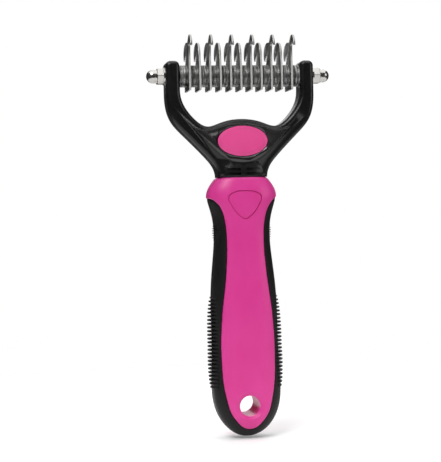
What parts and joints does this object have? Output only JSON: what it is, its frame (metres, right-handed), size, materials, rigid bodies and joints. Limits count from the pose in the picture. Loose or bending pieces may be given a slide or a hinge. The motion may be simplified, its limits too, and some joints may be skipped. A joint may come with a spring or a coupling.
{
  "type": "dematting comb",
  "caption": "Two-sided pet dematting comb: hooked steel blades and spacer rings on a rod in a Y-shaped yoke, with a two-colour hand grip.",
  "frame": {"origin": "centre of the hang hole, on its axis, midway through the handle", "axes": "+X along the blade rod, +Z from the handle up to the blades, -Y towards the side of the coarse teeth"},
  "size_m": [0.0812, 0.0251, 0.1741],
  "materials": {
    "black_plastic": "satin moulded, finely textured",
    "pink_plastic": "satin moulded",
    "black_rubber": "matt soft-touch",
    "blade_steel": "stamped and ground",
    "turned_steel": "turned",
    "bright_steel": "drawn",
    "nickel_plate": "nickel plated"
  },
  "bodies": {
    "tool": {"yoke": "black_plastic", "handle_core": "pink_plastic", "soft_grip": "black_rubber", "front_oval_inlay": "pink_plastic", "rear_oval_inlay": "pink_plastic", "blade_rod": "bright_steel", "blade_01": "blade_steel", "blade_02": "blade_steel", "blade_03": "blade_steel", "blade_04": "blade_steel", "blade_05": "blade_steel", "blade_06": "blade_steel", "blade_07": "blade_steel", "blade_08": "blade_steel", "blade_09": "blade_steel", "blade_10": "blade_steel", "blade_11": "blade_steel", "spacer_01": "turned_steel", "spacer_02": "turned_steel", "spacer_03": "turned_steel", "spacer_04": "turned_steel", "spacer_05": "turned_steel", "spacer_06": "turned_steel", "spacer_07": "turned_steel", "spacer_08": "turned_steel", "spacer_09": "turned_steel", "spacer_10": "turned_steel", "spacer_11": "turned_steel", "spacer_12": "turned_steel", "spacer_13": "turned_steel", "spacer_14": "turned_steel", "spacer_15": "turned_steel", "spacer_16": "turned_steel", "spacer_17": "turned_steel", "spacer_18": "turned_steel", "spacer_19": "turned_steel", "spacer_20": "turned_steel", "spacer_21": "turned_steel", "spacer_22": "turned_steel", "spacer_23": "turned_steel", "spacer_24": "turned_steel"},
    "left_washer_body": {"left_washer": "nickel_plate"},
    "left_nut_body": {"left_cap_nut": "nickel_plate"},
    "right_washer_body": {"right_washer": "nickel_plate"},
    "right_nut_body": {"right_cap_nut": "nickel_plate"}
  },
  "joints": [
    {"name": "left_nut_travel", "type": "slide", "parent": "tool", "child": "left_washer_body", "axis": [-1, 0, 0], "range_m": [0, 0.0048]},
    {"name": "left_nut_turn", "type": "hinge", "parent": "left_washer_body", "child": "left_nut_body", "pos_m": [-0.0333, 0, 0.1433], "axis": [-1, 0, 0], "range_deg": [0, 2472.6]},
    {"name": "right_nut_travel", "type": "slide", "parent": "tool", "child": "right_washer_body", "axis": [1, 0, 0], "range_m": [0, 0.0048]},
    {"name": "right_nut_turn", "type": "hinge", "parent": "right_washer_body", "child": "right_nut_body", "pos_m": [0.0333, 0, 0.1433], "axis": [1, 0, 0], "range_deg": [0, 2472.6]}
  ],
  "couplings": [
    {"joint": "left_nut_turn", "follows": "left_nut_travel", "rad_per_m": 8976},
    {"joint": "right_nut_turn", "follows": "right_nut_travel", "rad_per_m": 8976}
  ]
}
